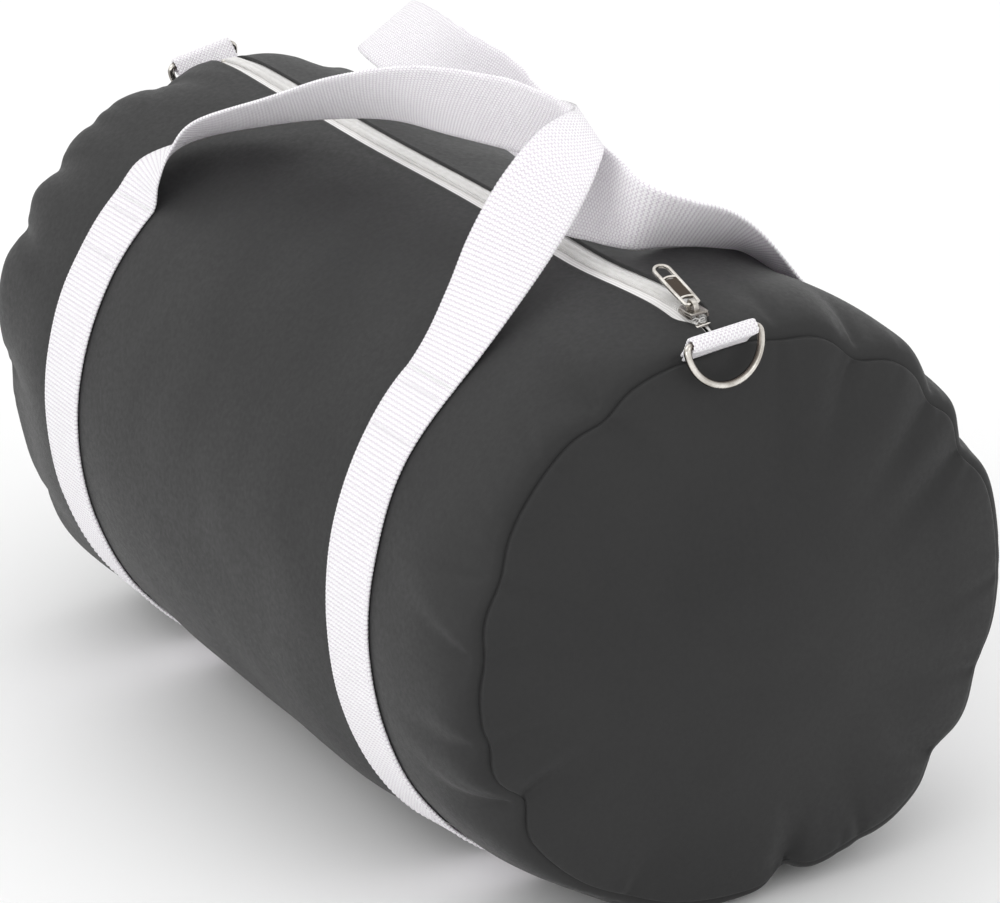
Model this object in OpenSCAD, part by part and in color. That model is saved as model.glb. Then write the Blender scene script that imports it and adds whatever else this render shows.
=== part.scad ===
// Roll bag with two webbing girth straps that continue as carry handles.
// X runs along the bag (+X is the end with the zip slider), -Y is the front, +Z is up.
// The origin is under the middle of the bag, on the surface that it stands on.

/* [Body] */
// Length between the two end seams
bag_length = 457; // [420:1:520]
// Diameter of the stuffed body
bag_dia = 268; // [260:1:276]
// Diameter at the end seams, where the gathers pull the fabric in
seam_dia = 254; // [248:1:256]
// How far the underside is pressed flat by the bag's weight
flat_drop = 9; // [5:0.5:12]
// Thickness of the body fabric with its coating
fabric_t = 1.5; // [1.2:0.1:2]
// How far each round end panel domes out
dome_h = 14; // [10:1:18]

/* [Webbing] */
// Width of the webbing
webbing_w = 38; // [36:0.5:38]
// Thickness of the webbing
webbing_t = 1.6; // [1.4:0.1:1.8]
// Distance between the middles of the two girth straps
strap_spacing = 276; // [270:1:280]
// Height on the body, in degrees above its middle, where the handles leave it
strap_end_angle = 50; // [48:1:52]

/* [Zip] */
// Length of the zip tapes
zip_length = 442; // [430:1:443]
// Angle between the zip and the length of the bag, seen from above
zip_skew = 1.5; // [0:0.1:2]
// Width of the gap that shows the zip
zip_window = 16; // [14:1:18]
// Width of one zip tape
tape_w = 15.4; // [14:0.1:16]
// Length of the slider's body
slider_length = 12; // [10:0.5:13]
// Length of the puller from its pivot
puller_length = 28; // [26:0.5:30]
// Angle of the puller above the zip when it is let go
puller_rise = 17; // [15:1:20]

/* [Rings] */
// Diameter of the ring wire
ring_wire = 3.2; // [3:0.1:3.4]
// Radius of the ring's round side, to the middle of the wire
ring_radius = 17.2; // [17:0.1:17.6]
// Straight part of the ring's sides, between its bar and its round side
ring_leg = 2.5; // [2:0.5:3]
// Angle at which the rings hang, in degrees below level
ring_hang = 80; // [65:1:82]
// Width of the folded tabs that hold the rings
tab_w = 30.6; // [30:0.1:30.8]
// How far round the body the right tab is sewn on, in degrees towards the front
right_tab_turn = 2.9; // [0:0.1:4]
// How far the left tab leans, in degrees
left_tab_tilt = 9; // [0:1:10]

/* [Hidden] */
$fn = 128;

fabric_grey = "#474747";
webbing_white = "#f1eff2";
nickel = "#c9c7c3";

body_r = bag_dia / 2;
seam_r = seam_dia / 2;
half_length = bag_length / 2;
axis_z = body_r - flat_drop + webbing_t;      // height of the body's centre line
flat_z = webbing_t - axis_z;                  // underside of the fabric, seen from the centre line
seam_land = 2.5;                              // straight stretch beside each end seam
taper_start = zip_length / 2;                 // where the body starts to narrow
strap_x = strap_spacing / 2;
handle_root_r = body_r + webbing_t / 2;       // middle of the webbing where it leaves the body
strap_gap_angle = 0.35;                       // keeps the swinging handles clear of the straps
handle_root_z = handle_root_r * sin(strap_end_angle);

tape_t = 1;
tape_top_r = body_r - fabric_t;
tape_gap = 1.5;                               // between the two tapes and the two coils
coil_w = 2.2;
coil_h = 2.3;
coil_half = zip_length / 2 - 4;
slider_x = coil_half - slider_length / 2 + 1;
slider_w = 9;
plate_t = 1.2;
slider_clear = 0.65;                          // enough for the zip's skew across the round top
slider_top = tape_top_r + coil_h + slider_clear + plate_t;
pivot_bore = 2;
pivot_pin = 1.9;
pivot_z = slider_top + 1.9;

seam_x = half_length;
binding_t = 2.6;                              // the bound seam allowance, flat against the seam
binding_w = 9;
bar_x = half_length + 7.5;                    // middle of the ring's straight bar
bar_z = seam_r + 5.5;
left_tab_drop = 2;                            // the left tab stands this much lower
tab_bore = ring_wire + 0.1;
tab_eye_r = tab_bore / 2 + webbing_t;

// ---- helpers -------------------------------------------------------------

// Puts a shape drawn about the body's centre line at its height above the floor.
module on_axis() { translate([0, 0, axis_z]) children(); }

// Turns a profile drawn as [radius, place along the body] about the body's centre line.
module turn_along_x() { rotate([0, 90, 0]) rotate_extrude() children(); }

// Solid outline of the body, shrunk by inset, with its pressed underside.
module body_solid(inset, overrun) {
    intersection() {
        turn_along_x() polygon([
            [0, -half_length - overrun], [seam_r - inset, -half_length - overrun],
            [seam_r - inset, -half_length + seam_land], [body_r - inset, -taper_start],
            [body_r - inset, taper_start], [seam_r - inset, half_length - seam_land],
            [seam_r - inset, half_length + overrun], [0, half_length + overrun]]);
        above_flat(inset);
    }
}

// Everything above the pressed underside, lifted by inset.
module above_flat(inset) {
    translate([-bag_length, -bag_dia, flat_z + inset]) cube([2 * bag_length, 2 * bag_dia, 2 * bag_dia]);
}

// Ball segment that stands on the right end seam, drawn from its own base radius and height.
module end_dome(base_r, height) {
    ball_r = (base_r * base_r + height * height) / (2 * height);
    turn_along_x() intersection() {
        translate([0, seam_x + height - ball_r]) circle(r = ball_r, $fn = 400);
        translate([0, seam_x]) square([base_r + 1, height + 1]);
    }
}

module right_end() {
    on_axis() difference() {
        intersection() {
            end_dome(seam_r, dome_h);
            above_flat(0);
        }
        intersection() {
            end_dome(seam_r - fabric_t, dome_h - fabric_t);
            above_flat(fabric_t);
        }
    }
}

module right_binding() {
    on_axis() difference() {
        intersection() {
            translate([seam_x - binding_t, 0, 0]) rotate([0, 90, 0])
                cylinder(r = seam_r - fabric_t, h = binding_t);
            above_flat(fabric_t);
        }
        intersection() {
            translate([seam_x - binding_t - 1, 0, 0]) rotate([0, 90, 0])
                cylinder(r = seam_r - fabric_t - binding_w, h = binding_t + 2);
            above_flat(fabric_t + binding_w);
        }
    }
}

// Stretches what it is given along the line of the zip, across the top of the body.
module along_zip() { rotate([0, 0, -zip_skew]) children(); }

// Curved strip from x0 to x1 along the zip, y0 to y1 across it and r0 to r1 from the centre line.
module zip_strip(x0, x1, y0, y1, r0, r1) {
    on_axis() intersection() {
        rotate([0, 90, 0]) translate([0, 0, -taper_start]) difference() {
            cylinder(r = r1, h = 2 * taper_start);
            translate([0, 0, -1]) cylinder(r = r0, h = 2 * taper_start + 2);
        }
        along_zip() translate([x0, y0, 0]) cube([x1 - x0, y1 - y0, body_r + 10]);
    }
}

// Wedge over the body that starts a little below where the handles leave it.
module open_top() {
    reach = 2 * body_r;
    cut = strap_end_angle - strap_gap_angle;
    rotate([90, 0, 90]) translate([0, 0, -webbing_w]) linear_extrude(2 * webbing_w)
        polygon([[0, 0], [reach * cos(cut), reach * sin(cut)], [0, 2 * reach],
            [-reach * cos(cut), reach * sin(cut)]]);
}

// Round bar across the body with the same pressed underside, grown outward by grow.
module pressed_bar(grow, width) {
    intersection() {
        rotate([0, 90, 0]) translate([0, 0, -width / 2]) cylinder(r = body_r + grow, h = width);
        translate([-width, -bag_dia, flat_z - grow]) cube([2 * width, 2 * bag_dia, 2 * bag_dia]);
    }
}

// Webbing round the body at x, pressed flat below and open at the top.
module girth_band(x) {
    on_axis() translate([x, 0, 0]) difference() {
        pressed_bar(webbing_t, webbing_w);
        pressed_bar(0, webbing_w + 2);
        open_top();
    }
}

// Smooth curve through four points in turn (Catmull-Rom), at t between the second and third.
function curve(a, b, c, d, t) = 0.5 * (2 * b + (c - a) * t + (2 * a - 5 * b + 4 * c - d) * t * t
    + (3 * b - a - 3 * c + d) * t * t * t);

function along(points, steps) = [for (i = [1:len(points) - 3]) for (k = [0:steps - 1])
    curve(points[i - 1], points[i], points[i + 1], points[i + 2], k / steps),
    points[len(points) - 2]];

function unit(v) = v / norm(v);

// Strip of webbing between two edge curves, as one closed solid.
module webbing_strip(edge_a, edge_b, steps) {
    a = along(edge_a, steps);
    b = along(edge_b, steps);
    n = len(a);
    across = 4;
    mid = (a + b) / 2;
    face = [for (i = [0:n - 1])
        unit(cross(mid[min(i + 1, n - 1)] - mid[max(i - 1, 0)], b[i] - a[i]))];
    ring = 2 * (across + 1);
    points = [for (i = [0:n - 1]) for (side = [0, 1]) for (j = [0:across])
        let (u = side == 0 ? j / across : 1 - j / across)
        a[i] + (b[i] - a[i]) * u + face[i] * (side == 0 ? 0.5 : -0.5) * webbing_t];
    walls = [for (i = [0:n - 2]) for (j = [0:ring - 1]) let (j2 = (j + 1) % ring)
        each [[i * ring + j, i * ring + j2, (i + 1) * ring + j],
            [i * ring + j2, (i + 1) * ring + j2, (i + 1) * ring + j]]];
    cap = [for (j = [0:across - 1]) each [[j + 1, j, ring - 1 - j], [j + 1, ring - 1 - j, ring - 2 - j]]];
    far_cap = [for (f = cap) [f[2], f[1], f[0]] + (n - 1) * ring * [1, 1, 1]];
    polyhedron(points, concat(walls, cap, far_cap));
}

// ---- handle routes -------------------------------------------------------
// Each handle is the strip between two edges. The points are places along the edges, about the
// body's centre line, chosen so that the width between them stays that of the webbing.
// Both handles stand up from the straps, twist once, arch over the zip and fold over once.

front_outer = [[-152, -74, 117], [-137, -55, 126], [-117, -38, 133], [-74, -20, 145],
    [-29, -9, 154], [16, -5, 158], [59, 3, 160], [84, 9, 160], [106, 11, 162], [127, 3, 165],
    [139, -16, 155], [147, -36, 142], [153, -55, 129], [156, -73, 115]];
front_inner = [[-116, -84, 117], [-111, -79, 133], [-102, -70, 147], [-67, -52, 163],
    [-28, -37, 180], [15, -20, 192], [60, -4, 196], [84, 3, 196], [104, 0, 195], [112, -20, 186],
    [113, -37, 170], [114, -52, 151], [116, -64, 132], [118, -76, 115]];
back_outer = [[154, 76, 115], [147, 59, 128], [136, 39, 136], [120, 20, 137], [95, 15, 138],
    [69, 16, 141], [25, 16, 148], [-19, 16, 152], [-63, 16, 152], [-88, 17, 153], [-111, 21, 155],
    [-131, 34, 158], [-144, 50, 150], [-151, 66, 135], [-155, 77, 118]];
back_inner = [[119, 84, 118], [114, 77, 132], [104, 59, 140], [99, 43, 153], [96, 28, 173],
    [76, 26, 176], [30, 28, 184], [-17, 26, 189], [-62, 17, 190], [-84, 24, 190], [-97, 42, 183],
    [-107, 59, 172], [-114, 73, 157], [-117, 82, 138], [-118, 84, 118]];

// Adds the two ends on the straps, and one point inside each strap that sets the direction.
// side is -1 at the front and +1 at the back; first_x and last_x are the edge's ends.
function rooted(route, side, first_x, last_x) = concat(
    [root_point(first_x, side, -8), root_point(first_x, side, 0)], route,
    [root_point(last_x, side, 0), root_point(last_x, side, -8)]);

function root_point(x, side, turn) = [x, side * handle_root_r * cos(strap_end_angle + turn),
    handle_root_r * sin(strap_end_angle + turn)];

// ---- parts ---------------------------------------------------------------

// The body: one sheet wrapped round, open at both ends and along the zip.
module main_panel() {
    color(fabric_grey) on_axis() difference() {
        body_solid(0, 0);
        body_solid(fabric_t, 1);
        along_zip() translate([-taper_start, -zip_window / 2, 0])
            cube([2 * taper_start, zip_window, body_r + 1]);
    }
}

module right_end_panel() { color(fabric_grey) right_end(); }

module left_end_panel() { color(fabric_grey) mirror([1, 0, 0]) right_end(); }

// Bound seam allowance inside the bag, against the end seam.
module right_seam_binding() { color("#2e2e2e") right_binding(); }

module left_seam_binding() { color("#2e2e2e") mirror([1, 0, 0]) right_binding(); }

module back_zip_tape() {
    inner = tape_gap / 2;
    color(webbing_white) zip_strip(-body_r * 2, body_r * 2, inner, inner + tape_w,
        tape_top_r - tape_t, tape_top_r);
}

module front_zip_tape() {
    inner = tape_gap / 2;
    color(webbing_white) zip_strip(-body_r * 2, body_r * 2, -inner - tape_w, -inner,
        tape_top_r - tape_t, tape_top_r);
}

// Each coil stands on the inner edge of its tape.
module back_zip_coil() {
    inner = tape_gap / 2;
    color("white") zip_strip(-coil_half, coil_half, inner, inner + coil_w,
        tape_top_r, tape_top_r + coil_h);
}

module front_zip_coil() {
    inner = tape_gap / 2;
    color("white") zip_strip(-coil_half, coil_half, -inner - coil_w, -inner,
        tape_top_r, tape_top_r + coil_h);
}

// Two metal stops on the tapes, one past each end of the coils.
module zip_end_stops() {
    near = coil_half + 1.2;
    far = coil_half + 3.6;
    color(nickel) zip_strip(near, far, -3.5, 3.5, tape_top_r, tape_top_r + 1.6);
    color(nickel) zip_strip(-far, -near, -3.5, 3.5, tape_top_r, tape_top_r + 1.6);
}

// Slider: top and bottom plates joined by a post between the tapes, and a bridge for the puller.
module zip_slider() {
    post_t = tape_gap - 0.8;
    bottom_top = tape_top_r - tape_t - slider_clear;
    lip_in = tape_gap / 2 + coil_w + slider_clear;
    color(nickel) on_axis() along_zip() translate([slider_x, 0, 0]) difference() {
        union() {
            translate([-slider_length / 2, -slider_w / 2, slider_top - plate_t])
                cube([slider_length, slider_w, plate_t]);
            translate([-slider_length / 2, -slider_w / 2, bottom_top - plate_t])
                cube([slider_length, slider_w, plate_t]);
            translate([0, -post_t / 2, bottom_top - plate_t])
                cube([slider_length / 2, post_t, slider_top - bottom_top + plate_t]);
            for (side = [0, 1]) mirror([0, side, 0])
                translate([-slider_length / 2, lip_in, tape_top_r + slider_clear + 0.4])
                    cube([slider_length, slider_w / 2 - lip_in, slider_top - tape_top_r - 1.6]);
            translate([0, 1.2, pivot_z]) rotate([90, 0, 0]) cylinder(r = 2.1, h = 2.4);
            translate([-2.1, -1.2, slider_top - 0.2]) cube([4.2, 2.4, pivot_z - slider_top + 0.2]);
        }
        translate([0, 5, pivot_z]) rotate([90, 0, 0]) cylinder(d = pivot_bore, h = 10);
    }
}

// Puller: a flat tag with a slot, and two arms with the pin that turns in the bridge.
module zip_puller() {
    tag_w = 7.5;
    tag_t = 1.6;
    arm_in = 1.5;
    slot_r = 1.9;
    color(nickel) on_axis() along_zip() translate([slider_x, 0, pivot_z]) rotate([0, puller_rise, 0]) {
        difference() {
            union() {
                translate([-puller_length + tag_w / 2, -tag_w / 2, -tag_t / 2])
                    cube([puller_length - tag_w / 2 - 3.4, tag_w, tag_t]);
                translate([-puller_length + tag_w / 2, 0, -tag_t / 2])
                    cylinder(d = tag_w, h = tag_t);
                for (side = [0, 1]) mirror([0, side, 0]) {
                    translate([-3.5, arm_in, -tag_t / 2]) cube([3.5, 1.8, tag_t]);
                    translate([0, arm_in + 1.8, 0]) rotate([90, 0, 0]) cylinder(d = 2.6, h = 1.8);
                }
            }
            hull() for (x = [-puller_length + tag_w / 2, -puller_length + tag_w / 2 + 6])
                translate([x, 0, -tag_t]) cylinder(r = slot_r, h = 2 * tag_t, $fn = 32);
        }
        translate([0, arm_in + 0.5, 0]) rotate([90, 0, 0]) cylinder(d = pivot_pin, h = 2 * arm_in + 1);
    }
}

// Puts a tab or ring on the right end, turned round the body towards the front.
module on_right_end() { on_axis() rotate([right_tab_turn, 0, 0]) children(); }

// Puts a tab or ring on the left end, a little lower and leaning.
module on_left_end() {
    on_axis() translate([0, 0, bar_z - left_tab_drop]) rotate([left_tab_tilt, 0, 0])
        translate([0, 0, -bar_z]) mirror([1, 0, 0]) children();
}

// Outside of the whole body, ends included.
module body_outline() {
    body_solid(0, 0);
    for (side = [0, 1]) mirror([side, 0, 0]) intersection() {
        end_dome(seam_r, dome_h);
        above_flat(0);
    }
}

// Points of the tab's outline beside the seam and beside the ring's bar, as [x, z].
tab_root = [seam_x - 2.2, seam_r + 0.6];
tab_tip = [bar_x - tab_eye_r * 0.567, bar_z + tab_eye_r * 0.824];

// Folded webbing tab: two plies stand up from the end seam and close round the ring's bar.
module tab_shape() {
    difference() {
        union() {
            translate([bar_x, tab_w / 2, bar_z]) rotate([90, 0, 0]) cylinder(r = tab_eye_r, h = tab_w);
            translate([0, tab_w / 2, 0]) rotate([90, 0, 0]) linear_extrude(tab_w)
                polygon([[tab_root[0], seam_r - 4], tab_root, tab_tip,
                    [2 * bar_x - tab_tip[0], 2 * bar_z - tab_tip[1]], [seam_x + 1.2, seam_r - 4]]);
        }
        translate([bar_x, 30, bar_z]) rotate([90, 0, 0]) cylinder(d = tab_bore, h = 60);
    }
}

module right_ring_tab() {
    color(webbing_white) difference() {
        on_right_end() tab_shape();
        on_axis() body_outline();
    }
}

module left_ring_tab() {
    color(webbing_white) difference() {
        on_left_end() tab_shape();
        on_axis() body_outline();
    }
}

// D-ring: straight bar in the tab, round side hanging down.
module ring_shape() {
    translate([bar_x, 0, bar_z]) rotate([0, ring_hang, 0]) {
        translate([0, ring_radius, 0]) rotate([90, 0, 0]) cylinder(d = ring_wire, h = 2 * ring_radius);
        for (side = [-1, 1]) translate([0, side * ring_radius, 0]) {
            sphere(d = ring_wire);
            rotate([0, 90, 0]) cylinder(d = ring_wire, h = ring_leg);
        }
        translate([ring_leg, 0, 0]) rotate([0, 0, -90]) rotate_extrude(angle = 180)
            translate([ring_radius, 0]) circle(d = ring_wire, $fn = 48);
    }
}

module right_d_ring() { color(nickel) on_right_end() ring_shape(); }

module left_d_ring() { color(nickel) on_left_end() ring_shape(); }

module right_girth_strap() {
    color(webbing_white) girth_band(strap_x);
}

module left_girth_strap() {
    color(webbing_white) girth_band(-strap_x);
}

module front_handle() {
    half_w = webbing_w / 2;
    color(webbing_white) on_axis() webbing_strip(
        rooted(front_outer, -1, -strap_x - half_w, strap_x + half_w),
        rooted(front_inner, -1, -strap_x + half_w, strap_x - half_w), 3);
}

module back_handle() {
    half_w = webbing_w / 2;
    color(webbing_white) on_axis() webbing_strip(
        rooted(back_outer, 1, strap_x + half_w, -strap_x - half_w),
        rooted(back_inner, 1, strap_x - half_w, -strap_x + half_w), 3);
}

// Dense zigzag rows across the webbing just below where each handle leaves the body.
module handle_bartacks() {
    tack_t = 0.6;
    color("white") for (x = [-strap_x, strap_x], side = [-1, 1], row = [0, 1]) on_axis()
        rotate([side * (90 - strap_end_angle + 2.5 + 9 * row), 0, 0])
            translate([x - webbing_w / 2 + 3, -1, body_r + webbing_t])
                cube([webbing_w - 6, 2, tack_t]);
}

// Lines of thread along both edges of the girth straps.
module strap_stitching() {
    line_w = 0.8;
    color("white") for (x = [-strap_x, strap_x], side = [-1, 1])
        girth_side(x + side * (webbing_w / 2 - 3), line_w);
}

// One line of thread on a strap's outer face, down the front and up the back only.
module girth_side(x, line_w) {
    on_axis() intersection() {
        rotate([0, 90, 0]) translate([0, 0, x - line_w / 2]) difference() {
            cylinder(r = body_r + webbing_t + 0.3, h = line_w);
            translate([0, 0, -1]) cylinder(r = body_r + webbing_t, h = line_w + 2);
        }
        translate([x - line_w, -bag_dia, -body_r * 0.75])
            cube([2 * line_w, 2 * bag_dia, body_r * 0.75 + handle_root_z - 22]);
    }
}

// One row of thread across the upper ply of each tab, just above the end seam.
module tab_stitching() {
    color("white") {
        on_right_end() tab_thread();
        on_left_end() tab_thread();
    }
}

module tab_thread() {
    run = tab_tip - tab_root;
    slope = atan2(run[1], run[0]);
    at = tab_root + 0.35 * run;
    translate([at[0], -tab_w / 2 + 2, at[1]]) rotate([0, -slope, 0]) translate([0, 0, 0.02])
        cube([0.8, tab_w - 4, 0.4]);
}

// One row of thread along the fabric on each side of the zip.
module zip_topstitching() {
    line_w = 0.8;
    edge = zip_window / 2 + 2;
    reach = zip_length / 2 - 2;
    color("#3c3c3c") {
        zip_strip(-reach, reach, edge, edge + line_w, body_r, body_r + 0.3);
        zip_strip(-reach, reach, -edge - line_w, -edge, body_r, body_r + 0.3);
    }
}

main_panel();
right_end_panel();
left_end_panel();
right_seam_binding();
left_seam_binding();
front_zip_tape();
back_zip_tape();
front_zip_coil();
back_zip_coil();
zip_end_stops();
zip_slider();
zip_puller();
right_ring_tab();
left_ring_tab();
right_d_ring();
left_d_ring();
right_girth_strap();
left_girth_strap();
front_handle();
back_handle();
handle_bartacks();
strap_stitching();
tab_stitching();
zip_topstitching();
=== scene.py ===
"""Roll bag with webbing straps: the looks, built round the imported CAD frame."""
import math

import bpy
import numpy as np
from mathutils import Matrix, Vector, noise


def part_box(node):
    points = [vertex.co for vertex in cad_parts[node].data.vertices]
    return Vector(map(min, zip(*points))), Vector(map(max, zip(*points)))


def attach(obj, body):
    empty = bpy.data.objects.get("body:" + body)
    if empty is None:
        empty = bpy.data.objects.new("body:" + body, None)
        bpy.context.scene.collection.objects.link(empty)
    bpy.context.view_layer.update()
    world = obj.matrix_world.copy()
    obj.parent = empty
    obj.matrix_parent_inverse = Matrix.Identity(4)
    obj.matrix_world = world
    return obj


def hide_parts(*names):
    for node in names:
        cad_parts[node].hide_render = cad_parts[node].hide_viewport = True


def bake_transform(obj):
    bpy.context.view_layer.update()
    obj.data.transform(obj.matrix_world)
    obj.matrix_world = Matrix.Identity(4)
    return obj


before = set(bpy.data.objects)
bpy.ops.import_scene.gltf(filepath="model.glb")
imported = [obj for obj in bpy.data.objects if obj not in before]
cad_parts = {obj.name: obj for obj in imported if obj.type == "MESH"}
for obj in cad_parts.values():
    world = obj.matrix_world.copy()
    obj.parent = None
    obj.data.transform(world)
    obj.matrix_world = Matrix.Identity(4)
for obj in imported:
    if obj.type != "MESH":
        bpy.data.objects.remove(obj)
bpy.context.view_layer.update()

MM = 0.001                       # shapes are drawn in mm about the body's centre line, see to_frame
PANEL_LOW, PANEL_HIGH = np.array(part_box("main_panel"), float) / MM
STRAP_LOW, STRAP_HIGH = np.array(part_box("right_girth_strap"), float) / MM

# The bag's driving dimensions, in mm.
HALF_LENGTH = PANEL_HIGH[0]                       # middle of the bag to an end seam
BODY_R = PANEL_HIGH[1]                            # radius of the stuffed body
AXIS_Z = PANEL_HIGH[2] - BODY_R                   # height of the body's centre line
FLOOR = PANEL_LOW[2] - AXIS_Z                     # pressed underside of the fabric
SEAM_R = 127.0                                    # radius at the end seams
STRAP_X = 0.5 * (STRAP_LOW[0] + STRAP_HIGH[0])    # middle of the right girth strap
WEB_W = STRAP_HIGH[0] - STRAP_LOW[0]
WEB_T = PANEL_LOW[2] - STRAP_LOW[2]
WEB_LIFT = WEB_T / 2 + 0.25                       # middle of the webbing over the panel
ZIP_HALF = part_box("back_zip_tape")[1][0] / MM     # half the length of the CAD zip tapes
COIL_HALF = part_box("back_zip_coil")[1][0] / MM    # half the length of the zip coils
SLIDER_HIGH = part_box("zip_slider")[1][2] / MM     # top of the slider
ROOT_ANGLE = 50.0                                 # where the handles leave the body, in degrees
ZIP_SKEW = 1.5                                    # angle between zip and bag, in degrees
ZIP_WINDOW = 15.0                                 # zip that shows between the panel's edges
SIDE_NAME = {1: "right", -1: "left"}
RNG = np.random.default_rng(7)


# ---- camera --------------------------------------------------------------

CAM_AZ, CAM_EL, CAM_ROLL = math.radians(61.153), math.radians(22.263), math.radians(-3.296)
CAM_FROM_AXIS = Vector((1.7735, -0.9575, 0.8275))
CAM_LENS = 175.45


def make_camera():
    """The camera stands at the photograph's viewing angle and distance."""
    back = Vector((math.sin(CAM_AZ) * math.cos(CAM_EL), -math.cos(CAM_AZ) * math.cos(CAM_EL),
                   math.sin(CAM_EL)))
    side = Vector((math.cos(CAM_AZ), math.sin(CAM_AZ), 0))
    up = back.cross(side)
    c, s = math.cos(CAM_ROLL), math.sin(CAM_ROLL)
    right, top = c * side + s * up, -s * side + c * up
    data = bpy.data.cameras.new("camera")
    data.lens = CAM_LENS
    data.sensor_width = 36
    data.clip_start = 0.05
    cam = bpy.data.objects.new("camera", data)
    place = CAM_FROM_AXIS + Vector((0, 0, AXIS_Z * MM))
    cam.matrix_world = Matrix((
        (right.x, top.x, back.x, place.x), (right.y, top.y, back.y, place.y),
        (right.z, top.z, back.z, place.z), (0, 0, 0, 1)))
    bpy.context.collection.objects.link(cam)
    bpy.context.scene.camera = cam


make_camera()


# ---- node helpers --------------------------------------------------------

class Nodes:
    """A short way to build a material's node tree."""

    def __init__(self, name, **principled):
        self.mat = bpy.data.materials.new(name)
        self.mat.use_nodes = True
        self.tree = self.mat.node_tree
        self.shader = self.tree.nodes["Principled BSDF"]
        self.place = self.add("ShaderNodeTexCoord").outputs["Object"]
        self.feed(self.shader, **principled)

    def add(self, kind, **settings):
        """A node with its properties set."""
        node = self.tree.nodes.new(kind)
        for key, value in settings.items():
            setattr(node, key, value)
        return node

    def put(self, socket, value):
        """Links a socket to another one or sets it to a plain value."""
        if isinstance(value, bpy.types.NodeSocket):
            self.tree.links.new(value, socket)
        else:
            socket.default_value = value

    def feed(self, node, **values):
        """Gives values to a node's inputs by name, with _ for a space."""
        for key, value in values.items():
            self.put(node.inputs[key.replace("_", " ")], value)

    def math(self, op, *values):
        """Result of a maths node on numbers or sockets."""
        node = self.add("ShaderNodeMath", operation=op)
        for socket, value in zip(node.inputs, values):
            self.put(socket, value)
        return node.outputs[0]

    def wave(self, value, pitch):
        """Sine that repeats every pitch."""
        return self.math("SINE", self.math("MULTIPLY", value, 2 * math.pi / pitch))

    def noise(self, scale, detail, rough):
        """Noise from 0 to 1, fixed to the piece."""
        node = self.add("ShaderNodeTexNoise")
        self.feed(node, Scale=scale, Detail=detail, Roughness=rough, Vector=self.place)
        return node.outputs["Fac"]

    def scaled(self, value, low, high, from_0=0.0, from_1=1.0):
        """Number that runs from low to high while value runs from from_0 to from_1."""
        node = self.add("ShaderNodeMapRange")
        self.feed(node, Value=value, From_Min=from_0, From_Max=from_1, To_Min=low, To_Max=high)
        return node.outputs["Result"]

    def mix(self, share, first, second):
        """Colour between two others."""
        node = self.add("ShaderNodeMix", data_type="RGBA")
        self.feed(node, Factor=share, A=first, B=second)
        return node.outputs["Result"]

    def ramp(self, value, low, high, from_0=0.0, from_1=1.0):
        """Colour that runs from low to high while value runs from from_0 to from_1."""
        return self.mix(self.scaled(value, 0.0, 1.0, from_0, from_1), (*low, 1), (*high, 1))

    def uv(self):
        """The piece's own length and width, in metres, as two sockets."""
        node = self.add("ShaderNodeUVMap", uv_map="UVMap")
        split = self.add("ShaderNodeSeparateXYZ")
        self.feed(split, Vector=node.outputs["UV"])
        return split.outputs["X"], split.outputs["Y"]

    def attribute(self, name):
        """What point_values stored under this name."""
        return self.add("ShaderNodeAttribute", attribute_name=name).outputs["Fac"]

    def bump(self, height, strength, depth, **below):
        """Surface with a relief of about depth mm, laid over another one if Normal is given."""
        node = self.add("ShaderNodeBump")
        self.feed(node, Height=height, Strength=strength, Distance=depth * MM, **below)
        return node.outputs["Normal"]


def grey(value):
    """A neutral colour."""
    return (value, value, value)


def nylon_material():
    """Dark grey coated nylon: a fine plain weave, faint creases and a soft sheen."""
    n = Nodes("body_nylon", Sheen_Weight=0.04, Sheen_Roughness=0.5, Specular_IOR_Level=0.26)
    pitch = 0.55 * MM
    u, v = n.uv()
    weave = n.bump(n.math("MULTIPLY", n.wave(u, pitch), n.wave(v, pitch)), 0.25, 0.05)
    n.feed(n.shader, Base_Color=n.ramp(n.noise(9.0, 3.0, 0.5), (0.0160, 0.0160, 0.0163), grey(0.0215),
                                       0.3, 0.7),
           Roughness=n.scaled(n.noise(420.0, 2.0, 0.6), 0.50, 0.62, 0.3, 0.7),
           Normal=n.bump(n.noise(38.0, 6.0, 0.62), 0.22, 1.2, Normal=weave))
    return n.mat


def webbing_material():
    """White woven webbing: ribs across the width, each rib shifted against its neighbour, or
    straight ribs where the piece says ribbed. Light passes through it a little."""
    n = Nodes("webbing", Roughness=0.72, Sheen_Weight=0.2, Sheen_Roughness=0.6, Subsurface_Weight=0.45,
              Subsurface_Scale=3.0 * MM, Subsurface_Radius=(1.0, 0.95, 1.0), Specular_IOR_Level=0.3)
    rib, float_pitch = 1.25 * MM, 1.9 * MM
    u, v = n.uv()
    odd = n.math("MODULO", n.math("ABSOLUTE", n.math("FLOOR", n.math("DIVIDE", v, rib))), 2.0)
    shift = n.math("MULTIPLY_ADD", n.attribute("ribbed"), -math.pi, math.pi)
    along = n.math("SINE", n.math("ADD", n.math("MULTIPLY", u, 2 * math.pi / float_pitch),
                                  n.math("MULTIPLY", odd, shift)))
    across = n.math("POWER", n.math("ABSOLUTE", n.wave(v, 2 * rib)), 0.6)
    over = n.math("POWER", n.math("MULTIPLY_ADD", along, 0.5, 0.5), 0.7)
    fuzz = n.math("MULTIPLY", n.noise(900.0, 2.0, 0.6), 0.35)
    height = n.math("ADD", n.math("MULTIPLY", across, over), fuzz)
    # The colour runs from a lavender grey in the weave's low parts to white on its raised parts; the
    # lavender grey is painted shade.
    n.feed(n.shader, Base_Color=n.ramp(height, (0.56, 0.49, 0.57), (0.90, 0.89, 0.91), 0.05, 0.62),
           Normal=n.bump(height, 0.75, 0.36))
    return n.mat


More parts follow.
